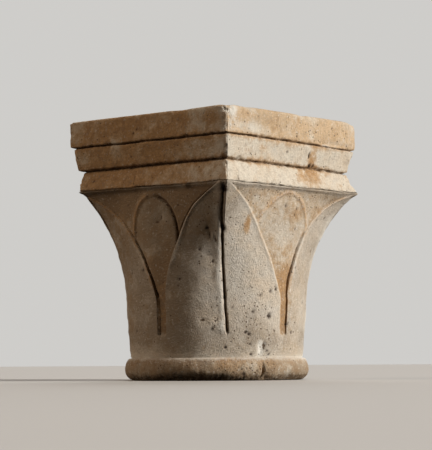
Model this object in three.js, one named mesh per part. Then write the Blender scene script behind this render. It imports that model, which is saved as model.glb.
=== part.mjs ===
// A limestone capital carved from one block: a square abacus of three bands, on a bell that grows from a
// round neck to the square. Each corner of the bell is a broad pointed leaf with a vein. Between two leaves
// the round core of the bell shows as a sunk tongue with a round head. A plain half-round ring runs round
// the foot. Millimetres, +Z up. The origin is the centre of the underside. The faces of the abacus look
// along +X, +Y, -X and -Y.

import * as THREE from "three";

const { clamp, lerp } = THREE.MathUtils;

// Driving sizes
const height = 353.5;
const abacusHalf = 138;
const ringRadius = 125.5;
const ringHeight = 30;
const neckRadius = 119;

// Abacus: each band is given by the height of its foot, and half its width at its foot and at its top. The
// block was cut by eye, so each corner also stands out by its own amount, in turn from the +X +Y corner.
const lowBand = { foot: 257, footHalf: 134.4, topHalf: 128, out: [2.5, 0, 1.5, 0] };
const midBand = { foot: 286.8, footHalf: 130.3, topHalf: 135.8, out: [1, 0, 4, 0] };
const topBand = { foot: 318.1, footHalf: 137.6, topHalf: abacusHalf, out: [0, 0, 4.5, 0] };
const quirkWidth = 3;
const quirkDepth = 3;
const topEdgeWear = { rise: 3, run: 2.4, blend: 4 };
const arrisWear = 3;

// Bell: a drum with a slight taper, and corners that flare by a power of the height, each by its own amount
const creaseRadius = 114;
const neckFoot = 45;
const bellTaper = 0.052;
const flareFoot = 100;
const flareReach = [66, 60, 54, 60];
const flarePower = [2.4, 2.65, 2.4, 2.65];

// Carving: the gap between two leaves is sunk below them, and the tongue in it is cut back to a round core
const carvingFoot = 57;
const footFade = 6;
const tipFade = 12;
const gapDepth = 1.5;
const coreDepth = 4.5;
const tongueHalf = 42;
const tongueSpring = 196;
const tongueTop = 246;
const rimWidth = 3;
const grooveWidth = 4;
const grooveDepth = 2.8;
const veinHalfWidth = 2.6;
const veinDepth = 3.6;

// Half the gap between two leaves, measured on the face, as [height, half width]
const leafEdge = smoothThrough([
  [57, 5],
  [62, 7],
  [107, 8],
  [130, 14],
  [163, 27],
  [190, 43],
  [216, 65],
  [235, 88],
  [243, 101],
  [257, 130],
]);

// Mesh: how many steps each stretch is cut into
const leafSteps = 5;
const evenSteps = 13;
const ringSteps = 6;
const creaseSteps = 3;
const neckSteps = 3;
const stalkSteps = 10;
const archSteps = 7;
const leastStep = 0.35;

// All four veins are set out from the corner at the end of this face, which flares by the usual amount
const evenSide = 1;

const cornerAngle = Math.PI / 4;
const quarterTurn = Math.PI / 2;
const cornerRatio = Math.SQRT2 - 1;
const headRatio = tongueHalf / (tongueTop - tongueSpring);

// A smooth function that passes through [x, y] pairs without overshooting between them
function smoothThrough(pairs) {
  const slopes = pairs.slice(1).map(([x, y], i) => (y - pairs[i][1]) / (x - pairs[i][0]));
  const tangents = pairs.map((_, i) => {
    const before = slopes[Math.max(i - 1, 0)];
    const after = slopes[Math.min(i, slopes.length - 1)];
    return before * after <= 0 ? 0 : (2 * before * after) / (before + after);
  });
  return (x) => {
    const next = pairs.findIndex(([px]) => px > x);
    const i = next < 0 ? pairs.length - 2 : Math.max(next - 1, 0);
    const [x0, y0] = pairs[i];
    const [x1, y1] = pairs[i + 1];
    const span = x1 - x0;
    const t = clamp((x - x0) / span, 0, 1);
    const rise = (y1 - y0) * t * t * (3 - 2 * t);
    return y0 + rise + span * t * (1 - t) * (tangents[i] * (1 - t) - tangents[i + 1] * t);
  };
}

// 0 at start and 1 at end, straight between them
function ramp(value, start, end) {
  return clamp((value - start) / (end - start), 0, 1);
}

// The values that cut a stretch into equal steps, both ends included
function cuts(start, end, steps) {
  return Array.from({ length: steps + 1 }, (_, i) => lerp(start, end, i / steps));
}

// Distance from the axis to the middle of a face of the bell
function faceDistance(z) {
  return neckRadius + bellTaper * (z - neckFoot);
}

// Corner 0 is at +X +Y and the others follow it round. Each face has the number of the corner at its end,
// and angles on it are measured from its middle, below 0 towards the corner before it.
function cornerBefore(side) {
  return (side + 3) % 4;
}

// A square with its corners stood out and their arrises worn, at an angle on one of its faces
function squareRadius(angle, side, halfWidth, out) {
  const before = halfWidth + out[cornerBefore(side)];
  const after = halfWidth + out[side];
  const nearer = angle > 0 ? after : before;
  const [along, aside] = [Math.cos(angle), Math.sin(angle)];
  const flat = (2 * before * after) / ((before + after) * along + (before - after) * aside);
  const worn = (2 * nearer - arrisWear) / (along + Math.abs(aside));
  return Math.min(flat, worn);
}

// The bell's section goes from a circle to a square as the corners flare
function bellRadius(angle, side, z) {
  const face = faceDistance(z);
  const corner = angle > 0 ? side : cornerBefore(side);
  const flare = flareReach[corner] * ramp(z, flareFoot, lowBand.foot) ** flarePower[corner];
  const share = flare / (face * cornerRatio);
  const radius = face * (1 - share) + (face * share) / Math.cos(angle);
  return Math.min(radius, squareRadius(angle, side, lowBand.footHalf, lowBand.out) - leastStep);
}

// The carving runs out at the leaf's foot and at its tip
function carvingShare(z) {
  return ramp(z, carvingFoot, carvingFoot + footFade) * ramp(z, lowBand.foot, lowBand.foot - tipFade);
}

// How far up the tongue's round head a height is, with the head's height scaled to its half width
function headRise(z) {
  return Math.max(z - tongueSpring, 0) * headRatio;
}

// How deep the carving is cut between two leaves, at an angle on one of the faces
function gapCut(angle, side, z) {
  const edge = leafEdge(z);
  const across = faceDistance(z) * Math.tan(Math.abs(angle));
  if (across >= edge) return 0;
  const toCore = bellRadius(angle, side, z) - faceDistance(z) + coreDepth;
  const fromTongue = Math.hypot(across, headRise(z)) - tongueHalf;
  const floor = lerp(gapDepth, toCore, ramp(fromTongue, rimWidth / 2, -rimWidth / 2));
  const bottom = floor + grooveDepth;
  const inGroove = (edge - across) / grooveWidth;
  const depth = inGroove < 0.5 ? bottom * inGroove * 2 : lerp(bottom, floor, ramp(inGroove, 0.5, 1));
  return depth * carvingShare(z);
}

// Angles from the middle of a face to its corner, with one on each carved line at this height
function carvedStations(z) {
  const face = faceDistance(z);
  const edge = leafEdge(z);
  const headWidth = (half) => Math.sqrt(Math.max(half ** 2 - headRise(z) ** 2, 0));
  const floorEdge = headWidth(tongueHalf - rimWidth / 2);
  const rimEdge = headWidth(tongueHalf + rimWidth / 2);
  const gapSide = edge - grooveWidth;
  const grooveBottom = edge - grooveWidth / 2;
  const lines = [0, floorEdge / 2, floorEdge, rimEdge, (rimEdge + gapSide) / 2, gapSide, grooveBottom, edge];
  const angles = lines.map((across) => Math.atan(across / face));
  const veinLip = cornerAngle - Math.asin(veinHalfWidth / bellRadius(cornerAngle, evenSide, z));
  const step = leastStep / face;
  const last = angles.length - 1;
  angles[last] = Math.min(angles[last], veinLip - leafSteps * step);
  for (let i = last - 1; i > 0; i -= 1) angles[i] = Math.min(angles[i], angles[i + 1] - step);
  for (let i = 1; i < last; i += 1) angles[i] = Math.max(angles[i], angles[i - 1] + step);
  return [...angles, ...cuts(angles[last], veinLip, leafSteps).slice(1), cornerAngle];
}

// One ring of points round the axis, from the angles of half a face and the radius at each of them
function ringOf(z, stations, radiusAt) {
  const face = [...stations.slice(1).reverse().map((angle) => -angle), ...stations.slice(0, -1)];
  const points = [];
  for (let side = 0; side < 4; side += 1) {
    for (const offset of face) {
      const angle = side * quarterTurn + offset;
      const radius = radiusAt(offset, side);
      points.push(new THREE.Vector3(radius * Math.cos(angle), radius * Math.sin(angle), z));
    }
  }
  return points;
}

// The half-round ring, the hollow curve that rises from its crease, and the neck below the carving. The
// stations are even on the ring, and move over to the carved lines on the way up.
function footRings() {
  const carved = carvedStations(carvingFoot);
  const plainRing = (z, radius) => {
    const share = ramp(z, ringHeight, carvingFoot);
    const even = cuts(0, cornerAngle, evenSteps);
    return ringOf(z, even.map((angle, i) => lerp(angle, carved[i], share)), () => radius);
  };
  const ring = cuts(0, 2 * quarterTurn, ringSteps).map((turn) => {
    const z = (ringHeight / 2) * (1 - Math.cos(turn));
    return plainRing(z, lerp(creaseRadius, ringRadius, Math.sin(turn)));
  });
  const hollow = cuts(0, quarterTurn, creaseSteps).slice(1).map((turn) => {
    const z = lerp(neckFoot, ringHeight, Math.cos(turn));
    return plainRing(z, lerp(creaseRadius, neckRadius, Math.sin(turn)));
  });
  const neck = cuts(neckFoot, carvingFoot, neckSteps).slice(1, -1).map((z) => plainRing(z, faceDistance(z)));
  return [...ring, ...hollow, ...neck];
}

// Even steps up the stalk of the tongue, then even turns round the arch of its head
function bellRings() {
  const stalk = cuts(carvingFoot + footFade, tongueSpring, stalkSteps);
  const arch = cuts(0, quarterTurn, archSteps).slice(1);
  const head = arch.map((turn) => tongueSpring + ((tongueHalf - rimWidth / 2) / headRatio) * Math.sin(turn));
  const tip = cuts(tongueTop + rimWidth / 2 / headRatio, lowBand.foot, 2);
  const heights = [carvingFoot, carvingFoot + footFade / 2, ...stalk, ...head, ...tip];
  return heights.map((z) => {
    const stations = carvedStations(z);
    const veinCut = veinDepth * carvingShare(z);
    return ringOf(z, stations, (angle, side) => {
      const cut = Math.abs(angle) === cornerAngle ? veinCut : gapCut(angle, side, z);
      return bellRadius(angle, side, z) - cut;
    });
  });
}

// The first ring meets the top of the bell station by station. The others are cut evenly up to the arris.
function abacusRings() {
  const outline = [
    [midBand.foot - quirkWidth, lowBand.topHalf, lowBand.out],
    [midBand.foot - quirkWidth / 2, lowBand.topHalf - quirkDepth, lowBand.out],
    [midBand.foot, midBand.footHalf, midBand.out],
    [topBand.foot - quirkWidth, midBand.topHalf, midBand.out],
    [topBand.foot - quirkWidth / 2, midBand.topHalf - quirkDepth, midBand.out],
    [topBand.foot, topBand.footHalf, topBand.out],
    [height - topEdgeWear.rise - topEdgeWear.blend, topBand.topHalf, topBand.out],
    [height - topEdgeWear.rise, topBand.topHalf, topBand.out],
    [height, topBand.topHalf - topEdgeWear.run, topBand.out],
  ];
  const ringAt = (z, stations, halfWidth, out) =>
    ringOf(z, stations, (angle, side) => squareRadius(angle, side, halfWidth, out));
  const foot = ringAt(lowBand.foot, carvedStations(lowBand.foot), lowBand.footHalf, lowBand.out);
  const bands = outline.map(([z, halfWidth, out]) => {
    const flat = cuts(0, halfWidth - arrisWear, evenSteps - 1).map((across) => Math.atan(across / halfWidth));
    return ringAt(z, [...flat, cornerAngle], halfWidth, out);
  });
  return [foot, ...bands];
}

// One closed skin: a strip of triangles between each two rings, and a fan over each end
function skinOf(rings) {
  const around = rings[0].length;
  const points = rings.flat();
  const bottomCentre = points.push(new THREE.Vector3(0, 0, rings[0][0].z)) - 1;
  const topCentre = points.push(new THREE.Vector3(0, 0, rings.at(-1)[0].z)) - 1;
  const topStart = (rings.length - 1) * around;
  const faces = [];
  for (let i = 0; i < around; i += 1) {
    const next = (i + 1) % around;
    const mirrored = i % (around / 4) >= around / 8;
    for (let start = 0; start < topStart; start += around) {
      const [a, b] = [start + i, start + next];
      const [c, d] = [b + around, a + around];
      if (mirrored) faces.push(a, b, c, a, c, d);
      else faces.push(a, b, d, b, c, d);
    }
    faces.push(bottomCentre, next, i);
    faces.push(topCentre, topStart + i, topStart + next);
  }
  const geometry = new THREE.BufferGeometry().setFromPoints(points);
  geometry.setIndex(faces);
  geometry.computeVertexNormals();
  return geometry;
}

const limestone = new THREE.MeshStandardMaterial({ color: 0xc9b79c, roughness: 0.9, metalness: 0 });

const capital = new THREE.Mesh(skinOf([...footRings(), ...bellRings(), ...abacusRings()]), limestone);
capital.name = "capital";

const part = new THREE.Group();
part.add(capital);

export default part;
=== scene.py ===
# A limestone capital: the carved block with its wear, chips, pits and stains, on a plain pale floor.
# The block is one mesh of rings of points round the axis. Sizes are in millimetres until the mesh is made.
import math
import random

import bpy
import numpy as np
from mathutils import Matrix, Vector, noise


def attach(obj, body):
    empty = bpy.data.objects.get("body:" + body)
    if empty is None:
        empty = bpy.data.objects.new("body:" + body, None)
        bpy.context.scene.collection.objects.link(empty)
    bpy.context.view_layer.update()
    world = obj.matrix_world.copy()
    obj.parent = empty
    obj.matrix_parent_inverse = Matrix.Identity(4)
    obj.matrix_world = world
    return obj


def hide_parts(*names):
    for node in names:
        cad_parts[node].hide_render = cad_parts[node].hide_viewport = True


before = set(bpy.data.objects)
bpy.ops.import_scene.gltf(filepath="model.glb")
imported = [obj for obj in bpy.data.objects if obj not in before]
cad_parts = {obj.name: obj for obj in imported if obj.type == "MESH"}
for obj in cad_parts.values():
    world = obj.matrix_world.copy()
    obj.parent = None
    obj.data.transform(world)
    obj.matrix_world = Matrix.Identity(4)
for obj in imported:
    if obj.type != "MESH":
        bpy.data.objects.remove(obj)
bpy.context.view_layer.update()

MM = 0.001
CORNER = math.pi / 4
rng = random.Random(7)

# Driving sizes, as in the part's source. Corner 0 is at +X +Y and the others follow it round; a face has the
# number of the corner at its end. Two faces show in the photograph, on its right and on its left.
RIGHT = 0
LEFT = 3
HEIGHT = 353.5
RING_RADIUS = 125.5
RING_HEIGHT = 30
RING_FULLNESS = 0.9
NECK_RADIUS = 119
CREASE_RADIUS = 114.5
CREASE_LIP, CREASE_LIP_WIDTH = 1.6, 3
NECK_FOOT = 46
BELL_TAPER = 0.052
BELL_INSET = 0.3
FLARE_FOOT = 100
FLARE_REACH = np.array([66, 60, 54, 60])
FLARE_POWER = np.array([2.4, 2.65, 2.4, 2.65])
LOW_FOOT, LOW_HALF, LOW_TOP_HALF = 257, 134.4, 128
MID_FOOT, MID_HALF, MID_TOP_HALF = 286.8, 130.3, 135.8
TOP_FOOT, TOP_HALF, ABACUS_HALF = 318.1, 137.6, 138
LOW_QUIRK_WIDTH, LOW_QUIRK_DEPTH = 4.4, 3.8
TOP_QUIRK_WIDTH, TOP_QUIRK_DEPTH = 3.4, 3.6
TOP_EDGE_WEAR = 2.6
ARRIS_WEAR = 2
LIP_WEAR_WIDTH, ARRIS_WEAR_WIDTH = 1.5, 3.5

# How far each corner stands out at six heights, because the block was cut by eye
OUT_HEIGHTS = (LOW_FOOT, MID_FOOT - 5, MID_FOOT, TOP_FOOT - 4, TOP_FOOT, HEIGHT)
CORNER_OUT = ((3.8, 1.8, 0.4, 1, 0.6, 0.6), (0,) * 6, (1.8, 1.5, 4.6, 4.2, 4.8, 4.8), (0,) * 6)

# Carving
CARVING_FOOT = 57
FOOT_FADE = 6
TIP_FADE = 10
EDGE_WOBBLE, HEAD_WOBBLE, VEIN_WOBBLE = 1.2, 0.8, 0.8
GAP_DEPTH = 1.5
RIM_WIDTH = 4
RIM_HEIGHT = 1.4
GROOVE_WIDTH = 4.2
GROOVE_DEPTH = 3.4
VEIN_HALF_WIDTH = 1.7
VEIN_DEPTH = 4.8
VEIN_CREST = 5.2
VEIN_LIP_HEIGHT = 1.4
UNDERCUT_DEPTH = 4
COVE_HEIGHT = 7
LEDGE = 1.2
QUIRK_LIFT, QUIRK_DIP = 0.6, 2
FOOT_RISE, TOP_RISE = 1.6, 0.9
CHIP_DROP = 0.7

# Half the gap between two leaves at each height, and how far the gaps of the two faces in sight stand aside
LEAF_EDGE = (
    (57, 3), (62, 7), (107, 7.8), (125, 11), (149, 19), (166, 27.5), (197, 48), (225, 75), (243, 102),
    (257, 130),
)
GAP_ASIDE = {
    LEFT: ((57, 8), (107, 7.5), (144, 3.7), (188, 0.5), (210, -5), (228, -9.5)),
    RIGHT: ((57, -4), (107, -5), (130, -8), (190, -8.5), (214, -5), (235, -1), (257, 0)),
}

# The vein leans: how far it stands from the corner at each height, and how much of that each corner has
VEIN_LEAN = ((66, 4.5), (105, 1.6), (144, -0.5), (198, -3), (214, -4.3), (250, -3.8))
LEAN_SHARE = (0.3, -0.5, -0.4, 1)

# The round heads of the tongues: half their width, where they spring and their top, on the left face, the
# right face and the other faces. On the right face the head's near half is wider and squarer.
TONGUE_HALF = (39.5, 42, 43)
TONGUE_HALF_LIMIT = 45
TONGUE_SPRING = (190, 200, 199)
TONGUE_TOP = (244.5, 247.5, 246.5)
WIDE_TONGUE_HALF = 60
WIDE_TONGUE_SQUARENESS = 1.45

# The raised lips of the leaves, and the stain and light on them: on the near and the far half of the left
# face, on the same halves of the right face, and on the other faces
LIP_WIDTH = (1.9, 1.8, 3.4, 4.6, 1.8)
LIP_HEIGHT = (1.7, 0.8, 0.9, 1.8, 1.1)
LIP_STAIN = (0.3, 0.6, 0.35, 0.5, 0.35)
LIP_LIGHT = (0.5, 0.2, 0.35, 0.45, 0.2)

# Mesh: columns to half a face, more on the two faces in sight, and rows. Both crowd together near some lines,
# and a crowd's last two values are its width and how much denser it is.
COLUMNS_OF_FACE = (94, 34, 34, 94)
RING_ROWS = 22
NECK_ROWS = 12
BELL_ROWS = 86
LOW_BAND_ROWS, MID_BAND_ROWS, TOP_BAND_ROWS = 12, 13, 17
QUIRK_ROWS = 2
CAP_STEPS = 9
FINE_STEPS = 600
SEED_SHIFT = (13.7, 5.3, 9.1)
NOISE_DIMENSION, NOISE_LACUNARITY = 0.9, 2.0
ROW_CROWDS = ((60, 9, 1.2), (250, 9, 1.5))
ARRIS_CROWD = (9, 3)
BAND_CROWD = (44, 9, 1.5)
LEAF_CROWD = (5, 3.4)
HEAD_CROWD = (5, 3)
HEAD_CROWD_HALF, HEAD_CROWD_FOOT, HEAD_CROWD_TOP = 42, 198, 246
VEIN_CROWD = (7, 4)
BED_DIP = 0.8
BED_ROUGHNESS = 0.5

# Wear at its places. Each row is a face, the place across it, the height, two half sizes and a depth
CHIPS = (
    (RIGHT, -136, 350, 10, 6, 4), (RIGHT, -136, 337, 8, 9, 3), (RIGHT, -136, 324, 8, 6, 3),
    (RIGHT, 138, 355, 10, 6, 3.5), (RIGHT, 84, 321, 22, 4.5, 3.2), (RIGHT, 118, 320, 12, 3, 2),
    (LEFT, -138, 354, 4, 3, 3), (LEFT, -136, 336, 4, 4, 1.5), (LEFT, -137, 258, 6, 4, 3),
    (RIGHT, -41, 43, 5, 9, 3), (RIGHT, -43, 8, 1.7, 12, 6), (RIGHT, -38, 6, 5, 5, 4),
    (RIGHT, -100, 353, 14, 3, 1.5), (RIGHT, 20, 353, 10, 3, 1.5), (LEFT, 60, 353, 16, 3, 1.5),
    (LEFT, 40, 2, 30, 6, 5), (RIGHT, -90, 2, 12, 5, 4), (RIGHT, 10, 2, 20, 5, 3),
)
KNOBS = (
    (RIGHT, 135, 256, 12, 6, 4), (LEFT, 120, 253, 8, 4, 3.5), (RIGHT, -131, 255, 5, 3.5, 4),
    (RIGHT, 84, 316.5, 24, 2.4, 3.6),
)
SCRATCHES = (
    (RIGHT, -112, 263, 1.3, 4.5, 2), (LEFT, 82, 190, 1.3, 7, 1.2), (LEFT, 64, 79.5, 4, 1.4, 1.4),
    (RIGHT, -35.5, 46, 1.4, 5, 2.4), (LEFT, 5, 209.5, 6, 1.5, 1), (LEFT, 12, 214, 1.6, 4, 1),
    (LEFT, 87, 184, 1.3, 5, 1.2),
)
PITS = (
    (RIGHT, 38, 301.5, 0.9, 2, 5), (RIGHT, 42.2, 288.5, 1.6, 1.8, 5), (RIGHT, 50.1, 287.5, 1.4, 1.2, 4),
    (RIGHT, -31.5, 85.2, 1.8, 1.9, 3.4), (RIGHT, -29.8, 116.2, 1.2, 1.6, 2.2),
    (RIGHT, -43.7, 110.7, 1.1, 1.3, 1.8), (RIGHT, -21.1, 119.6, 1.1, 1.5, 1.8),
    (RIGHT, -54.4, 91.3, 1.3, 1.5, 2), (RIGHT, -61.5, 63.5, 1.5, 1.3, 2), (RIGHT, -57.1, 60.9, 1.4, 1.2, 2),
    (RIGHT, -54.8, 47.8, 1.2, 1.1, 1.6), (RIGHT, -53.7, 34.7, 1.4, 1.2, 1.6),
    (RIGHT, -28.5, 35.2, 1.2, 1.1, 1.6), (RIGHT, -68.2, 9.2, 1.8, 1.6, 2),
    (RIGHT, -82.9, 44, 1.3, 1.3, 1.8), (LEFT, 80.3, 197.6, 1.4, 1.6, 2.2),
    (LEFT, 100.3, 199, 2, 3.4, 2.5), (LEFT, 123, 247.5, 2.4, 4, 3.5),
)
LOOSE_PITS = 60
LOOSE_PIT_SIZES = (0.8, 1.5)
LOOSE_PIT_PLACES = (-120, 120)
LOOSE_PIT_HEIGHTS = (20, 345)
PIT_SPREAD = 1.25
# Depth at which the painted shade in a pit is full
PIT_SHADE_DEPTH = 1.1

# Colour at its places, in rows of the same kind that end with a strength. UNWASHED is where the wash is thin
STAINS = (
    (RIGHT, -105, 342, 22, 12, 0.2), (RIGHT, -42, 338, 10, 12, 0.45), (RIGHT, 4, 337, 12, 13, 0.4),
    (RIGHT, 85, 337, 36, 13, 0.12), (RIGHT, 47, 296, 9, 15, 0.75), (RIGHT, 42, 272, 28, 12, 0.5),
    (RIGHT, -60, 303, 8, 8, 0.3), (LEFT, 112, 335, 14, 14, 0.4), (LEFT, 60, 338, 14, 14, 0.3),
    (RIGHT, -72, 203, 6, 14, 0.6), (RIGHT, 4, 95, 16, 50, 0.3), (LEFT, -20, 90, 9, 40, 0.35),
    (LEFT, 24, 90, 12, 40, 0.3), (RIGHT, 16, 222, 16, 12, 0.4), (LEFT, -60, 235, 26, 14, 0.5),
)
UNWASHED = ((RIGHT, -92, 326, 34, 9, 0.5), (RIGHT, 100, 300, 60, 10, 0.2))
GRIMY = (
    (LEFT, 105, 232, 22, 22, 0.25), (RIGHT, -110, 228, 26, 26, 0.85), (RIGHT, -60, 62, 34, 32, 0.5),
    (RIGHT, 10, 226, 18, 16, 0.3), (LEFT, 26, 90, 14, 40, 0.25), (LEFT, 60, 100, 30, 60, 0.1),
    (RIGHT, 60, 245, 50, 6, 0.3), (LEFT, 112, 336, 24, 14, 0.3), (RIGHT, 75, 130, 30, 80, 0.15),
    (RIGHT, 34, 18, 64, 16, 0.9), (RIGHT, -60, 337, 60, 14, 0.4),
)
WHITE = (
    (RIGHT, -130, 346, 14, 9, 1), (RIGHT, -129, 328, 14, 11, 0.8), (RIGHT, -41, 43, 4.5, 9, 1.6),
    (RIGHT, 9.7, 119.7, 2.5, 4, 1), (RIGHT, 80, 318, 18, 2.5, 0.9), (RIGHT, 134, 342, 9, 12, 0.5),
    (LEFT, -134, 346, 6, 7, 0.4), (RIGHT, -92, 328, 30, 6, 0.5), (RIGHT, -38, 302, 36, 8, 0.25),
    (RIGHT, 75, 60, 34, 50, 0.45), (RIGHT, 80, 270, 20, 8, 0.3),
)
PORED = (
    (RIGHT, -58, 75, 26, 44, 0.6), (RIGHT, -112, 215, 22, 30, 0.3), (RIGHT, 60, 336, 50, 12, 0.12),
    (LEFT, 60, 245, 60, 6, 0.4), (RIGHT, 50, 246, 60, 6, 0.4), (RIGHT, -60, 15, 40, 12, 0.4),
)

# The two quirks: the band edge over each, its width, and how far its dirt and painted shade reach
QUIRKS = ((MID_FOOT, LOW_QUIRK_WIDTH, 2), (TOP_FOOT, TOP_QUIRK_WIDTH, 1.6))


def ramp(value, start, end):
    return np.clip((value - start) / (end - start), 0, 1)


def smooth(value, start, end):
    share = ramp(value, start, end)
    return share * share * (3 - 2 * share)


def bump(distance, width):
    """1 at no distance, and soon 0 beyond the width."""
    return np.exp(-((distance / width) ** 2))


def smooth_through(pairs, values):
    """A smooth curve through the pairs that doesn't overshoot between them."""
    xs, ys = (np.array(column, float) for column in zip(*pairs))
    slopes = np.diff(ys) / np.diff(xs)
    before, after = np.r_[slopes[0], slopes], np.r_[slopes, slopes[-1]]
    tangents = 2 * before * after / (before + after)
    i = np.clip(np.searchsorted(xs, values, side="right") - 1, 0, len(slopes) - 1)
    span = xs[i + 1] - xs[i]
    t = np.clip((values - xs[i]) / span, 0, 1)
    rise = (ys[i + 1] - ys[i]) * t * t * (3 - 2 * t)
    return ys[i] + rise + span * t * (1 - t) * (tangents[i] * (1 - t) - tangents[i + 1] * t)


def straight_through(pairs, values):
    return np.interp(values, *zip(*pairs))


def graded(start, end, steps, crowds):
    """Steps from start to end that crowd together at places, each given with its width and density."""
    fine = np.linspace(start, end, FINE_STEPS)
    density = 1 + sum(extra * bump(fine - line, width) for line, width, extra in crowds)
    share = np.concatenate([[0], np.cumsum((density[1:] + density[:-1]) / 2)])
    return np.interp(np.linspace(0, share[-1], steps + 1), share, fine)


def noise_at(points, size, seed, octaves=3):
    """Smooth noise from about -1 to 1 at points in millimetres, with lumps of that size."""
    shift = Vector([seed * step for step in SEED_SHIFT])
    places = (Vector(point) / size + shift for point in points.reshape(-1, 3))
    values = [noise.fractal(spot, NOISE_DIMENSION, NOISE_LACUNARITY, octaves) for spot in places]
    return np.array(values).reshape(points.shape[:-1])


# The plain form. A place on it is a face, a signed angle from the face's middle, and a height

def face_distance(z):
    return NECK_RADIUS + BELL_TAPER * (z - NECK_FOOT)


def leaf_edge(z):
    return smooth_through(LEAF_EDGE, np.clip(z, LEAF_EDGE[0][0], LEAF_EDGE[-1][0]))


def gap_aside(face, z):
    return straight_through(GAP_ASIDE.get(face, ((0, 0), (1, 0))), z)


def corner_out(corner, z):
    return np.choose(corner, [np.interp(z, OUT_HEIGHTS, row) for row in CORNER_OUT])


def square_radius(angle, face, z, half):
    before = half + corner_out((face - 1) % 4, z)
    after = half + corner_out(face, z)
    flat = 2 * before * after / ((before + after) * np.cos(angle) + (before - after) * np.sin(angle))
    nearer = np.where(angle > 0, after, before)
    worn = (2 * nearer - ARRIS_WEAR) / (np.cos(angle) + np.abs(np.sin(angle)))
    return np.minimum(flat, worn)


def bell_radius(angle, face, z):
    distance = face_distance(z)
    corner = np.where(angle > 0, face, (face - 1) % 4)
    flare = FLARE_REACH[corner] * ramp(z, FLARE_FOOT, LOW_FOOT) ** FLARE_POWER[corner]
    share = flare / (distance * (math.sqrt(2) - 1))
    radius = distance * (1 - share) + distance * share / np.cos(angle)
    return np.minimum(radius, square_radius(angle, face, LOW_FOOT, LOW_HALF) - BELL_INSET)


def ring_profile():
    """Pairs of height and radius up the half-round ring, the soft hollow over it and the neck."""
    turn = np.linspace(0, math.pi, RING_ROWS + 1)
    ring = np.stack([
        RING_HEIGHT / 2 * (1 - np.cos(turn)),
        CREASE_RADIUS + (RING_RADIUS - CREASE_RADIUS) * np.sin(turn) ** RING_FULLNESS,
    ], axis=1)
    z = np.linspace(RING_HEIGHT, CARVING_FOOT, NECK_ROWS + 1)[1:]
    hollow = np.sqrt(1 - (1 - ramp(z, RING_HEIGHT, NECK_FOOT)) ** 2)
    neck = CREASE_RADIUS + (NECK_RADIUS - CREASE_RADIUS) * hollow + np.maximum(z - NECK_FOOT, 0) * BELL_TAPER
    profile = np.concatenate([ring, np.stack([z, neck], axis=1)])
    profile[:, 1] += CREASE_LIP * bump(profile[:, 0] - RING_HEIGHT, CREASE_LIP_WIDTH)
    return profile


def abacus_profile():
    """Pairs of height and half width up the three bands and over the worn top edge."""
    corners = (
        (LOW_FOOT, LOW_HALF, 0),
        (MID_FOOT - LOW_QUIRK_WIDTH, LOW_TOP_HALF, LOW_BAND_ROWS),
        (MID_FOOT - LOW_QUIRK_WIDTH / 2, LOW_TOP_HALF - LOW_QUIRK_DEPTH, QUIRK_ROWS),
        (MID_FOOT, MID_HALF, QUIRK_ROWS),
        (TOP_FOOT - TOP_QUIRK_WIDTH, MID_TOP_HALF, MID_BAND_ROWS),
        (TOP_FOOT - TOP_QUIRK_WIDTH / 2, MID_TOP_HALF - TOP_QUIRK_DEPTH, QUIRK_ROWS),
        (TOP_FOOT, TOP_HALF, QUIRK_ROWS),
        (HEIGHT - TOP_EDGE_WEAR, ABACUS_HALF, TOP_BAND_ROWS),
        (HEIGHT, ABACUS_HALF - TOP_EDGE_WEAR, QUIRK_ROWS),
    )
    rows = [corners[0][:2]]
    for (z0, half0, _), (z1, half1, steps) in zip(corners, corners[1:]):
        eased = np.linspace(0, 1, steps + 1)[1:]
        if steps > QUIRK_ROWS:
            eased = (eased + (1 - np.cos(eased * math.pi)) / 2) / 2
        rows += [(z0 + (z1 - z0) * t, half0 + (half1 - half0) * t) for t in eased]
    return np.array(rows)


def half_face(z, columns, aside):
    """Angles from the middle of a face to its corner, crowded near the carved lines."""
    level = min(max(z, CARVING_FOOT), LOW_FOOT)
    face = face_distance(level)
    if z > LOW_FOOT:
        return np.arctan(graded(0, face, columns, [(face, *ARRIS_CROWD), BAND_CROWD]) / face)
    edge = float(leaf_edge(np.array(level))) + aside
    head = HEAD_CROWD_HALF * math.sqrt(1 - ramp(level, HEAD_CROWD_FOOT, HEAD_CROWD_TOP) ** 2)
    crowds = [(edge - 1, *LEAF_CROWD), (min(head, edge), *HEAD_CROWD), (face, *VEIN_CROWD)]
    carved = np.arctan(graded(0, face, columns, crowds) / face)
    even = np.linspace(0, CORNER, columns + 1)
    return even + (carved - even) * ramp(z, RING_HEIGHT, CARVING_FOOT)


def ring_of_angles(z):
    """Signed angles from the middle of each face, for all four faces in turn."""
    faces = []
    for face, columns in enumerate(COLUMNS_OF_FACE):
        aside = gap_aside(face, z)
        faces += [-half_face(z, columns, -aside)[:0:-1], half_face(z, columns, aside)[:-1]]
    return np.concatenate(faces)


bell_heights = graded(CARVING_FOOT, LOW_FOOT, BELL_ROWS, ROW_CROWDS)[1:]
foot_rows = ring_profile()
abacus_rows = abacus_profile()
heights = np.concatenate([foot_rows[:, 0], bell_heights, abacus_rows[:, 0]])
angles = np.array([ring_of_angles(z) for z in heights])
face_of_column = np.concatenate([np.full(2 * n, face) for face, n in enumerate(COLUMNS_OF_FACE)])
side = np.broadcast_to(face_of_column, angles.shape)
z_of = np.broadcast_to(heights[:, None], angles.shape)
corner_of = np.where(angles > 0, side, (side - 1) % 4)

first_bell = len(foot_rows)
first_abacus = first_bell + len(bell_heights)
bell = slice(first_bell, first_abacus)
abacus = slice(first_abacus, None)
radius = np.empty_like(angles)
radius[:first_bell] = foot_rows[:, 1][:, None]
radius[bell] = bell_radius(angles[bell], side[bell], z_of[bell])
radius[abacus] = square_radius(angles[abacus], side[abacus], z_of[abacus], abacus_rows[:, 1][:, None])


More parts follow.
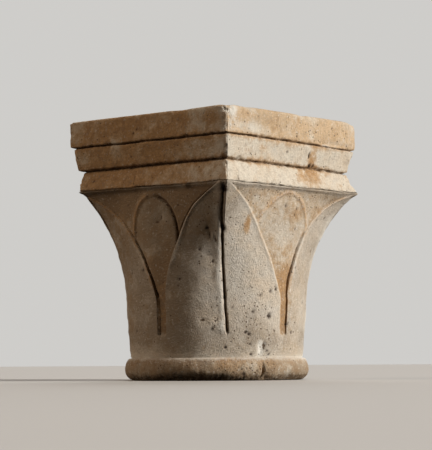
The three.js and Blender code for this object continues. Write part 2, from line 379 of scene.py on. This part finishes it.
def place(radii):
    around = side * 2 * CORNER + angles
    return np.stack([radii * np.cos(around), radii * np.sin(around), z_of], axis=-1)


plain = place(radius)
waves = noise_at(plain, size=62, seed=1)
sway = noise_at(plain, size=42, seed=15)
patches = noise_at(plain, size=38, seed=12)
blots = noise_at(plain * (1, 1, 0.8), size=24, seed=11)
lumps = noise_at(plain, size=17, seed=2)
crumbs = noise_at(plain, size=8, seed=13)
grit = noise_at(plain, size=5, seed=3, octaves=2)
lateral = face_distance(np.clip(z_of, CARVING_FOOT, LOW_FOOT)) * np.tan(angles)
on_bell = ramp(z_of, RING_HEIGHT, CARVING_FOOT) * (z_of < LOW_FOOT)
on_abacus = 1.0 * (z_of >= LOW_FOOT)
on_ring = 1 - smooth(z_of, RING_HEIGHT - 3, RING_HEIGHT + 4)
on_left = side == LEFT
on_right = side == RIGHT
on_hidden = ~(on_left | on_right)
gap_middle = np.choose(side, [gap_aside(face, z_of) for face in range(4)])
on_near_half = (on_left & (lateral > gap_middle)) | (on_right & (lateral < gap_middle))
on_near_left, on_far_left = on_left & on_near_half, on_left & ~on_near_half
on_near_right, on_far_right = on_right & on_near_half, on_right & ~on_near_half


def by_face(left, right, hidden):
    return np.select([on_left, on_right], [left, right], hidden)


def by_half(near_left, far_left, near_right, far_right, hidden):
    halves = [on_near_left, on_far_left, on_near_right, on_far_right]
    return np.select(halves, [near_left, far_left, near_right, far_right], hidden)


def by_height(start, end):
    """0 at the first height and 1 at the second."""
    return smooth(z_of, start, end)


def by_place(start, end):
    """0 at the first place across a face and 1 at the second."""
    return smooth(lateral, start, end)


def layered(*layers):
    """The sum of layers, each a strength and where it lies."""
    return sum(strength * where for strength, where in layers)


def spots(rows):
    """The sum of soft spots, each given by its face, place across it, height, two half sizes and strength."""
    total = np.zeros_like(radius)
    for face, across, z, wide, high, strength in rows:
        angle = face * 2 * CORNER
        normal = np.array([math.cos(angle), math.sin(angle), 0])
        tangent = np.array([-math.sin(angle), math.cos(angle), 0])
        away = (plain @ tangent - across) ** 2 + (z_of - z) ** 2
        centre = plain.reshape(-1, 3)[np.where(plain @ normal > 0, away, np.inf).argmin()]
        gap = plain - centre
        reach = ((gap @ tangent) / wide) ** 2 + (gap[..., 2] / high) ** 2
        total += strength * np.exp(-reach - ((gap @ normal) / max(wide, high)) ** 2)
    return total


# The carving. First the gap between two leaves, with the tongue in it and a groove along each leaf. Each
# carved line wobbles by a noise of its own, which changes only with height.

line = np.stack([40.0 * side + 9 * np.sign(angles), np.full_like(angles, 3), z_of], axis=-1)
wobble = noise_at(line, size=24, seed=5)
across = np.abs(lateral - gap_middle)
edge = leaf_edge(z_of) + EDGE_WOBBLE * wobble * ramp(z_of, 60, 110)
fade = by_height(CARVING_FOOT, CARVING_FOOT + FOOT_FADE) * by_height(LOW_FOOT, LOW_FOOT - TIP_FADE) * on_bell

wide_half = on_right & (lateral < 0)
tongue_half = np.where(wide_half, WIDE_TONGUE_HALF, by_face(*TONGUE_HALF))
squareness = np.where(wide_half, WIDE_TONGUE_SQUARENESS, 2)
spring, top = by_face(*TONGUE_SPRING), by_face(*TONGUE_TOP)
up_head = np.maximum(z_of - spring, 0) / (top - spring)
out_head = np.abs(lateral + HEAD_WOBBLE * wobble) / tongue_half
from_head = (out_head ** squareness + up_head ** squareness) ** (1 / squareness) - 1
from_tongue = from_head * np.minimum(tongue_half, TONGUE_HALF_LIMIT)
in_tongue = smooth(from_tongue, RIM_WIDTH / 2, -RIM_WIDTH / 2)
roundness = bell_radius(angles, side, np.clip(z_of, CARVING_FOOT, LOW_FOOT)) - face_distance(z_of)
nearness = np.where(on_left, by_place(-14, 14), by_place(14, -14))
tongue_step = by_face(left=0.4 + 2 * nearness, right=0.3 + 0.5 * nearness, hidden=2)
core_share = by_face(left=0.12 + 0.3 * nearness, right=0.12 + 0.2 * nearness, hidden=0.45)
floor_depth = GAP_DEPTH + (tongue_step + core_share * roundness) * in_tongue

broken = 0.9 - 0.9 * bump(z_of - 101, 8) + 0.7 * wobble + 0.4 * crumbs
groove_share = by_half(
    near_left=0.1 + 0.35 * by_height(150, 200),
    far_left=1.1 - 0.6 * by_height(185, 225),
    near_right=0,
    far_right=np.clip(broken, 0, 1.5) * by_height(205, 180),
    hidden=1,
)
groove_width = GROOVE_WIDTH * by_half(
    near_left=0.85, far_left=0.55 + 0.1 * lumps, near_right=2.6, far_right=0.55 + 0.25 * lumps, hidden=0.85,
)
in_groove = (edge - across) / groove_width
bottom = floor_depth + GROOVE_DEPTH * groove_share
steep = smooth(in_groove, 0, 0.4) * bottom
shallow = bottom + (floor_depth - bottom) * smooth(in_groove, 0.4, 1.1)
gap_cut = np.where(in_groove < 0.4, steep, shallow) * fade
inside_gap = smooth(in_groove, -0.1, 0.3) * fade

# The lips of the leaves, the tongue's raised rim and the undercut beside the left one

lip_width = by_half(*LIP_WIDTH)
lip_fade = fade * np.where(on_near_left, by_height(115, 190), by_height(100, 150))
past_lip = across - edge - lip_width * 0.5
outer_width = lip_width * (1 + 1.4 * on_left)
leaf_lip = np.where(past_lip < 0, bump(past_lip, lip_width), bump(past_lip, outer_width))
leaf_lip = leaf_lip * lip_fade * smooth(across - edge, -1.6, 1.2)
rim_at_head = inside_gap * smooth(edge - across, 0, 5) * by_height(186, 200)
rim = bump(from_tongue - 2, by_face(left=2.8, right=3, hidden=2)) * rim_at_head * (1 - 0.75 * on_near_left)
undercut = bump(from_tongue + 1, 2.5) * inside_gap * on_near_left * by_place(-2, 16) * by_height(172, 190)

# The vein, its raised crest, and the cove under the abacus

from_corner = (CORNER - np.abs(angles)) * radius
along_corner = np.where(angles > 0, -from_corner, from_corner)
lean = straight_through(VEIN_LEAN, z_of) * np.choose(corner_of, LEAN_SHARE)
beside_vein = along_corner - lean + VEIN_WOBBLE * wobble
from_vein = np.abs(beside_vein) / (1 + 0.25 * lumps - 0.35 * by_height(195, 235))
vein_fade = by_height(58, 68) * by_height(253, 249) * on_bell
vein_cut = VEIN_DEPTH * np.clip(1.3 - from_vein / VEIN_HALF_WIDTH, 0, 1) * vein_fade
from_crest = beside_vein + VEIN_CREST
vein_lip = np.where(from_crest < 0, bump(from_crest, 8), bump(from_crest, 3))
vein_lip = vein_lip * vein_fade * (0.9 + 0.4 * lumps)

under_ledge = np.maximum(square_radius(angles, side, LOW_FOOT, LOW_HALF) - LEDGE - radius, 0)
cove = under_ledge * by_height(LOW_FOOT - COVE_HEIGHT, LOW_FOOT) ** 1.5 * on_bell
raised = layered(
    (by_half(*LIP_HEIGHT), leaf_lip), (RIM_HEIGHT, rim), (VEIN_LIP_HEIGHT, vein_lip), (1, cove),
)
carved = radius - gap_cut - vein_cut - UNDERCUT_DEPTH * undercut + raised

# Wear, chips and pits

lips = (LOW_FOOT, MID_FOOT - LOW_QUIRK_WIDTH, MID_FOOT, TOP_FOOT - TOP_QUIRK_WIDTH, TOP_FOOT, HEIGHT - 1)
lip = sum(bump(z_of - z, LIP_WEAR_WIDTH) for z in lips) * on_abacus
arris = bump(from_corner, ARRIS_WEAR_WIDTH) * on_abacus
nibble = np.clip(0.6 * lumps + 0.9 * crumbs + 0.4 * grit, 0, 2)
worn = layered(
    (0.2 + 2.6 * nibble, lip),
    (0.3 + 2.6 * nibble, arris),
    (1.5 + 3.5 * np.clip(waves + crumbs, 0, 2), on_ring * by_height(10, 0)),
)
uneven = layered(
    (0.7, waves),
    (0.4 + 0.3 * on_ring, lumps),
    (0.5 * on_ring, crumbs),
    (0.14 + 0.14 * on_abacus, grit),
)


def all_pits():
    """The pits at their places, and loose ones over all four faces."""
    pits = list(PITS)
    for _ in range(LOOSE_PITS):
        size = rng.uniform(*LOOSE_PIT_SIZES)
        where = (rng.randrange(4), rng.uniform(*LOOSE_PIT_PLACES), rng.uniform(*LOOSE_PIT_HEIGHTS))
        pits.append((*where, size, size, size))
    return [(*where, PIT_SPREAD * wide, PIT_SPREAD * high, depth) for *where, wide, high, depth in pits]


chip_depth, knob, scratch, pit_depth = (spots(rows) for rows in (CHIPS, KNOBS, SCRATCHES, all_pits()))
carved = carved + uneven - worn - chip_depth * (1 + 0.5 * grit) - pit_depth - scratch + knob

# The bands aren't level: their edges sway, the quirks dip towards +Y, the low band's foot rises towards -X,
# and the top rises a little towards +X.

x, y = plain[..., 0], plain[..., 1]
quirk_shift = QUIRK_LIFT - QUIRK_DIP * smooth(y, -60, ABACUS_HALF)
shift = layered(
    (quirk_shift, by_height(MID_FOOT - 16, MID_FOOT - 4)),
    (FOOT_RISE * smooth(x, 60, -ABACUS_HALF), bump(z_of - LOW_FOOT, 12)),
    (0.7, sway), (0.5, lumps), (0.4, crumbs),
)
top_shift = TOP_RISE * smooth(x, 90, ABACUS_HALF) - CHIP_DROP * chip_depth
points = place(carved)
points[..., 2] += shift * by_height(235, LOW_FOOT) * by_height(HEIGHT, HEIGHT - 14)
points[..., 2] += top_shift * by_height(HEIGHT - 10, HEIGHT)
points = points.reshape(-1, 3)

# Where each layer of colour lies, from 0 to about 1. Some layers carry painted shade and a painted highlight

abacus_left, bell_left = on_abacus * on_left, on_bell * on_left
above_tongue = inside_gap * (1 - in_tongue)
in_strip = inside_gap * by_height(190, 120) * by_height(56, 72) * (1 + 0.4 * crumbs + 0.4 * on_left)
quirk_edges = sum(bump(z_of - foot + 2, 5 + 2 * crumbs) for foot, _, _ in QUIRKS) * on_abacus
quirks = sum(bump(z_of - foot + width / 2, reach + 0.6 * crumbs) for foot, width, reach in QUIRKS)
# Painted shade: where the left face's bell turns away from the key light
shade_edge = by_height(160, 205)
in_shade = smooth(lateral, 88 + 40 * shade_edge, 50 + 45 * shade_edge)

stain = layered(
    (1, spots(STAINS)),
    (0.12, on_abacus),
    (0.5, on_abacus * on_hidden),
    (0.35 + 0.2 * by_place(-122, -100), abacus_left * (1 - 0.7 * by_place(40, 75))),
    (0.35, quirk_edges),
    (0.5, on_ring),
    (0.25, on_bell * by_height(64, 34)),
    (0.3, bell_left * by_place(-30, -80)),
    (0.2, bell_left * by_height(150, 200)),
    (by_face(left=0.75, right=0.6, hidden=0.6), in_strip),
    (0.16, inside_gap),
    (by_face(left=0.6, right=0.12, hidden=0.12), above_tongue * by_height(190, 215)),
    (by_face(left=0.9, right=0.4, hidden=0.4), rim),
    (by_half(*LIP_STAIN), leaf_lip),
)
stain = np.clip(stain * (1 + 0.6 * blots + 0.35 * patches), 0, 1)
wash = layered(
    (1.1, stain),
    (-1, spots(UNWASHED)),
    (0.78 * (0.8 + 0.5 * patches + 0.4 * blots), on_abacus * on_right * by_height(TOP_FOOT - 3, TOP_FOOT)),
    (0.3, abacus_left * (1 - 0.6 * by_place(40, 75))),
    (0.15, inside_gap),
)
# Dirt, and painted shade: in the quirks, under the low band's edge, and in the grooves, vein, undercut and
# scratches by their depth. Darker towards the bottom of the ring
dirt_and_shade = layered(
    (by_face(left=0.85, right=0.65, hidden=0.85), quirks * on_abacus),
    (by_face(left=0.4, right=0.2, hidden=0.4), bump(z_of - LOW_FOOT, 1.6) * (1 + lumps)),
    (0.9, np.clip(gap_cut - floor_depth * fade, 0, 3) / 3),
    (1.1, np.clip(vein_cut / 4, 0, 1)),
    (1, undercut),
    (0.8, np.clip(scratch, 0, 1)),
    (0.08 + 0.5 * by_height(14, 2), on_ring),
)
# Grime, and painted shade: on the shaded bell of the left face and the ring along it, in the quirks, under
# the low band, in the tongues and in the spandrels under the abacus. The ring and the bell's foot grow darker
# towards the bottom
grime_and_shade = layered(
    (1, spots(GRIMY)),
    (0.35, on_bell * by_height(LOW_FOOT - 22, LOW_FOOT)),
    (0.1, inside_gap),
    (0.35, above_tongue * by_height(190, 220)),
    (0.3, inside_gap * in_tongue * on_bell),
    (0.35 + 0.4 * by_height(24, 8), on_ring),
    # Painted shade on the ring along the left face
    (1.6, on_ring * on_left * by_place(108, 70)),
    (0.2, on_bell * by_height(66, 40)),
    (0.5, on_bell * by_height(80, 50)),
    (0.3, quirks),
    (0.08, abacus_left),
    (0.3, on_hidden),
    # Painted shade on the left face's bell
    (1, bell_left * in_shade),
    (0.45, on_bell * on_far_right * (1 - inside_gap)),
    (-0.5, on_left * np.clip(in_strip, 0, 1)),
)
grime_and_shade = grime_and_shade * (1 + 0.5 * patches + 0.3 * blots) * (1 - 0.7 * np.clip(leaf_lip + rim, 0, 1))
# Pale fresh stone on chips, lips and rims, and a painted highlight along the top of the ring
fresh_and_highlight = layered(
    (0.75 + 0.6 * lumps + 0.4 * crumbs, spots(WHITE)),
    (by_half(*LIP_LIGHT), leaf_lip),
    (by_face(left=0.1, right=0.35, hidden=0.1), rim),
    (0.6, vein_lip * by_height(236, 222)),
    # Painted highlight on the top of the ring and the hollow over it
    (0.5, bump(z_of - RING_HEIGHT, 4)),
)
pored = layered(
    (1, spots(PORED)),
    (0.2, above_tongue * on_right * by_height(190, 215)),
)
masks = {
    "stain": stain,
    "wash": np.clip(wash, 0, 1),
    "dirt_and_shade": np.clip(dirt_and_shade, 0, 1),
    "grime_and_shade": np.clip(grime_and_shade, 0, 1.3),
    "fresh_and_highlight": np.clip(fresh_and_highlight, 0, 1),
    # Painted shade in the pits, by their depth
    "pit_shade": np.clip(pit_depth / PIT_SHADE_DEPTH, 0, 1),
    "pored": np.clip(0.05 + pored, 0, 1),
    "cool": np.clip(on_bell * (1 - inside_gap * 0.5) * (0.9 + 0.4 * patches), 0, 1),
}


def cap(ring_start, count, level, up):
    """Rings that close an end: they shrink towards the axis, with a slightly rough bed."""
    ring = points[ring_start:ring_start + count]
    rows = []
    for i in range(1, CAP_STEPS):
        shrunk = ring * (1 - i / CAP_STEPS)
        shrunk[:, 2] = level - up * (BED_DIP + BED_ROUGHNESS * noise_at(shrunk, size=40, seed=8))
        rows.append(shrunk)
    return np.concatenate(rows)


def grid_faces(first, second, count):
    i = np.arange(count)
    j = (i + 1) % count
    return np.stack([first + i, first + j, second + j, second + i], axis=1)


def build_capital():
    rows, count = radius.shape
    last_ring = (rows - 1) * count
    bottom_cap = cap(0, count, 0, -1)
    top_cap = cap(last_ring, count, HEIGHT, 1)
    start_bottom = len(points)
    start_top = start_bottom + len(bottom_cap)
    centre = start_top + len(top_cap)
    vertices = np.concatenate([points, bottom_cap, top_cap, [[0, 0, BED_DIP], [0, 0, HEIGHT - BED_DIP]]])
    faces = [grid_faces(r * count, (r + 1) * count, count) for r in range(rows - 1)]
    fans = []
    for start, edge_ring, middle_point, flip in (
        (start_bottom, 0, centre, True), (start_top, last_ring, centre + 1, False),
    ):
        rings = [edge_ring] + [start + i * count for i in range(CAP_STEPS - 1)]
        for a, b in zip(rings, rings[1:]):
            strip = grid_faces(a, b, count)
            faces.append(strip[:, ::-1] if flip else strip)
        i = np.arange(count)
        fan = np.stack([rings[-1] + i, rings[-1] + (i + 1) % count, np.full(count, middle_point)], axis=1)
        fans.append(fan[:, ::-1] if flip else fan)
    polygons = np.concatenate(faces).tolist() + np.concatenate(fans).tolist()
    mesh = bpy.data.meshes.new("capital_stone")
    mesh.from_pydata((vertices * MM).tolist(), [], polygons)
    mesh.shade_smooth()
    bed = np.zeros(len(vertices) - len(points))
    for name, values in masks.items():
        layer = mesh.attributes.new(name, "FLOAT", "POINT")
        layer.data.foreach_set("value", np.concatenate([values.ravel(), bed]).astype(np.float32))
    return bpy.data.objects.new("capital_stone", mesh)


# Material

PALE_STONE = (0.74, 0.645, 0.515, 1)
CREAM_STONE = (0.70, 0.55, 0.39, 1)
COOL_STONE = (0.68, 0.60, 0.50, 1)
GREY_STONE = (0.48, 0.41, 0.33, 1)
WASHED_STONE = (0.66, 0.455, 0.265, 1)
STAINED_STONE = (0.60, 0.36, 0.165, 1)
DEEP_STAIN = (0.40, 0.22, 0.10, 1)
# Grime, also the colour of the painted shade
GRIME_AND_SHADE = (0.27, 0.195, 0.125, 1)
SPECK = (0.24, 0.17, 0.11, 1)
# Pale fresh stone, also the colour of the painted highlight on the ring
FRESH_STONE_AND_HIGHLIGHT = (0.84, 0.78, 0.68, 1)
# Dirt, also the colour of painted shade in hollows and pores
DIRT_AND_SHADE = (0.13, 0.078, 0.04, 1)
# Painted shade in the pits
PIT_SHADE = (0.05, 0.03, 0.02, 1)
NOISE_RANGE = (0.28, 0.72)
PORE_SPACING = 3.2
GLOSS = 0.2


class Nodes:
    """Makes and links shader nodes with few words."""

    def __init__(self, tree):
        self.tree = tree
        self.tree.nodes.clear()

    def add(self, kind, inputs=None, **settings):
        made = self.tree.nodes.new(kind)
        for name, value in settings.items():
            setattr(made, name, value)
        for name, value in (inputs or {}).items():
            socket = made.inputs[name]
            if isinstance(value, bpy.types.NodeSocket):
                self.tree.links.new(value, socket)
            else:
                socket.default_value = value
        return made

    def noise(self, where, size, detail, roughness):
        """Noise spread over 0 to 1, with lumps of a size in millimetres."""
        settings = {"Vector": where, "Scale": 1 / (size * MM), "Detail": detail, "Roughness": roughness}
        return self.ramp(self.add("ShaderNodeTexNoise", settings).outputs["Fac"], *NOISE_RANGE)

    def math(self, operation, a, b):
        return self.add("ShaderNodeMath", {0: a, 1: b}, operation=operation).outputs[0]

    def plus(self, a, b):
        return self.math("ADD", a, b)

    def minus(self, a, b):
        return self.math("SUBTRACT", a, b)

    def times(self, a, b):
        return self.math("MULTIPLY", a, b)

    def mean(self, a, b):
        return self.times(self.plus(a, b), 0.5)

    def ramp(self, value, start, end, low=0.0, high=1.0):
        settings = {"Value": value, "From Min": start, "From Max": end, "To Min": low, "To Max": high}
        return self.add("ShaderNodeMapRange", settings).outputs[0]

    def mix(self, factor, a, b):
        return self.add("ShaderNodeMix", {0: factor, 6: a, 7: b}, data_type="RGBA").outputs[2]

    def attribute(self, name):
        return self.add("ShaderNodeAttribute", attribute_name=name).outputs["Fac"]

    def cover(self, name, pattern, softness):
        """How far a ragged layer hides the stone: where the pattern is over what its mask leaves."""
        return self.ramp(self.plus(self.attribute(name), pattern), 1 - softness, 1 + softness)


def limestone():
    material = bpy.data.materials.new("limestone")
    material.use_nodes = True
    n = Nodes(material.node_tree)
    where = n.add("ShaderNodeTexCoord").outputs["Object"]
    clouds = n.noise(where, size=34, detail=5, roughness=0.6)
    blotches = n.noise(where, size=17, detail=9, roughness=0.68)
    mottle = n.noise(where, size=8, detail=8, roughness=0.72)
    flecks = n.noise(where, size=3.4, detail=3, roughness=0.6)
    speckle = n.noise(where, size=2.6, detail=4, roughness=0.75)
    grain = n.noise(where, size=1.2, detail=3, roughness=0.7)

    pore_scale = 1 / (PORE_SPACING * MM)
    cells = n.add("ShaderNodeTexVoronoi", {"Vector": where, "Scale": pore_scale, "Randomness": 1.0})
    chance = n.add("ShaderNodeSeparateColor", {"Color": cells.outputs["Color"]})
    there = n.math("LESS_THAN", chance.outputs[0], n.attribute("pored"))
    pore_width = n.ramp(chance.outputs[1], 0, 1, low=0.16, high=0.42)
    pores = n.times(there, n.ramp(n.minus(pore_width, cells.outputs["Distance"]), 0, 0.12))

    ragged = n.mean(blotches, mottle)
    crumbly = n.mean(mottle, speckle)
    stain = n.cover("stain", ragged, 0.25)
    wash = n.cover("wash", ragged, 0.32)
    grime_and_shade = n.cover("grime_and_shade", crumbly, 0.6)
    fresh_and_highlight = n.cover("fresh_and_highlight", crumbly, 0.35)
    dirt_and_shade = n.cover("dirt_and_shade", n.mean(mottle, flecks), 0.22)

    colour = n.mix(n.attribute("cool"), PALE_STONE, COOL_STONE)
    for share, layer in (
        (n.ramp(clouds, 0.35, 0.85, high=0.6), CREAM_STONE),
        (n.ramp(mottle, 0.5, 1, high=0.4), GREY_STONE),
        (n.times(wash, 0.9), WASHED_STONE),
        (stain, n.mix(mottle, STAINED_STONE, DEEP_STAIN)),
        # Grime and painted shade
        (n.times(grime_and_shade, 0.75), GRIME_AND_SHADE),
        (n.ramp(speckle, 0.6, 1, high=0.55), SPECK),
        (n.ramp(flecks, 0.3, 0.02, high=0.45), FRESH_STONE_AND_HIGHLIGHT),
        # Fresh stone and the painted highlight
        (n.times(fresh_and_highlight, 0.85), FRESH_STONE_AND_HIGHLIGHT),
        # Dirt and painted shade in the hollows, then the pores painted dark as shade
        (n.times(dirt_and_shade, 0.9), DIRT_AND_SHADE),
        (n.times(pores, 0.85), DIRT_AND_SHADE),
        # Painted shade in the pits
        (n.attribute("pit_shade"), PIT_SHADE),
    ):
        colour = n.mix(share, colour, layer)

    height = n.plus(n.times(grain, 0.4), n.times(speckle, 0.7))
    height = n.minus(n.plus(height, n.times(mottle, 0.5)), n.times(pores, 1.2))
    bumped = n.add("ShaderNodeBump", {"Height": height, "Strength": 1.0, "Distance": MM})
    shader = n.add("ShaderNodeBsdfPrincipled", {
        "Base Color": colour,
        "Roughness": n.ramp(mottle, 0.2, 0.8, low=0.82, high=0.97),
        "Normal": bumped.outputs[0],
        "Specular IOR Level": GLOSS,
    })
    n.add("ShaderNodeOutputMaterial", {"Surface": shader.outputs[0]})
    return material


capital = build_capital()
bpy.context.scene.collection.objects.link(capital)
capital.data.materials.append(limestone())
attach(capital, "root")
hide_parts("capital")


# Stage, light and camera. Each light has the bearing that it comes from, in degrees from +X towards +Y, its
# angle above ground, its strength, its spread in degrees and its colour. The camera looks from where the
# photograph was taken.

FLOOR_RADIUS = 7
FLOOR_SIDES = 64
FLOOR_COLOUR = (0.55, 0.52, 0.48, 1)
FLOOR_ROUGHNESS = 0.9
LIGHTS = {
    "key": (19, 20, 4.4, 14, (1.0, 0.985, 0.96)),
    "fill": (-135, 27, 1.2, 40, (1.0, 0.82, 0.66)),
    "back": (120, 32, 1.3, 50, (0.95, 0.97, 1.0)),
}
AIR_COLOUR, AIR_STRENGTH = (1.0, 0.84, 0.66, 1), 0.016
BACKDROP_COLOUR, BACKDROP_STRENGTH = (0.62, 0.61, 0.59, 1), 1.0
CAMERA_PLACE = (1.63629, -1.91167, 0.02683)
CAMERA_TURN, CAMERA_TILT, CAMERA_ROLL = 40.56, 4.2216, -0.334
CAMERA_LENS, CAMERA_SENSOR = 146.57, 36


def make_floor():
    material = bpy.data.materials.new("pale_floor")
    material.use_nodes = True
    shader = material.node_tree.nodes["Principled BSDF"]
    shader.inputs["Base Color"].default_value = FLOOR_COLOUR
    shader.inputs["Roughness"].default_value = FLOOR_ROUGHNESS
    mesh = bpy.data.meshes.new("floor")
    turns = np.arange(FLOOR_SIDES) * math.tau / FLOOR_SIDES
    ring = [(FLOOR_RADIUS * math.cos(turn), FLOOR_RADIUS * math.sin(turn), 0) for turn in turns]
    mesh.from_pydata(ring, [], [list(range(FLOOR_SIDES))])
    mesh.materials.append(material)
    floor = bpy.data.objects.new("floor", mesh)
    # The photograph was taken against black, so the floor throws no light back on the stone
    floor.visible_diffuse = False
    bpy.context.scene.collection.objects.link(floor)


def make_light(name, bearing, elevation, strength, spread, colour):
    data = bpy.data.lights.new(name, "SUN")
    data.energy = strength
    data.angle = math.radians(spread)
    data.color = colour
    light = bpy.data.objects.new(name, data)
    around, up = math.radians(bearing), math.radians(elevation)
    direction = Vector((math.cos(up) * math.cos(around), math.cos(up) * math.sin(around), math.sin(up)))
    light.rotation_euler = direction.to_track_quat("Z", "Y").to_euler()
    bpy.context.scene.collection.objects.link(light)


def make_world():
    world = bpy.data.worlds.new("studio")
    bpy.context.scene.world = world
    world.use_nodes = True
    n = Nodes(world.node_tree)
    seen = n.add("ShaderNodeLightPath").outputs["Is Camera Ray"]
    air = n.add("ShaderNodeBackground", {"Color": AIR_COLOUR, "Strength": AIR_STRENGTH})
    backdrop = n.add("ShaderNodeBackground", {"Color": BACKDROP_COLOUR, "Strength": BACKDROP_STRENGTH})
    both = n.add("ShaderNodeMixShader", {0: seen, 1: air.outputs[0], 2: backdrop.outputs[0]})
    n.add("ShaderNodeOutputWorld", {"Surface": both.outputs[0]})


def make_camera():
    data = bpy.data.cameras.new("camera")
    data.lens = CAMERA_LENS
    data.sensor_width = CAMERA_SENSOR
    camera = bpy.data.objects.new("camera", data)
    turn = Matrix.Rotation(math.radians(CAMERA_TURN), 4, "Z")
    tilt = Matrix.Rotation(math.radians(90 + CAMERA_TILT), 4, "X")
    roll = Matrix.Rotation(math.radians(CAMERA_ROLL), 4, "Z")
    camera.matrix_world = Matrix.Translation(CAMERA_PLACE) @ turn @ tilt @ roll
    bpy.context.scene.collection.objects.link(camera)
    bpy.context.scene.camera = camera


make_floor()
for light_name, light_values in LIGHTS.items():
    make_light(light_name, *light_values)
make_world()
make_camera()
bpy.context.scene.view_settings.view_transform = "Standard"
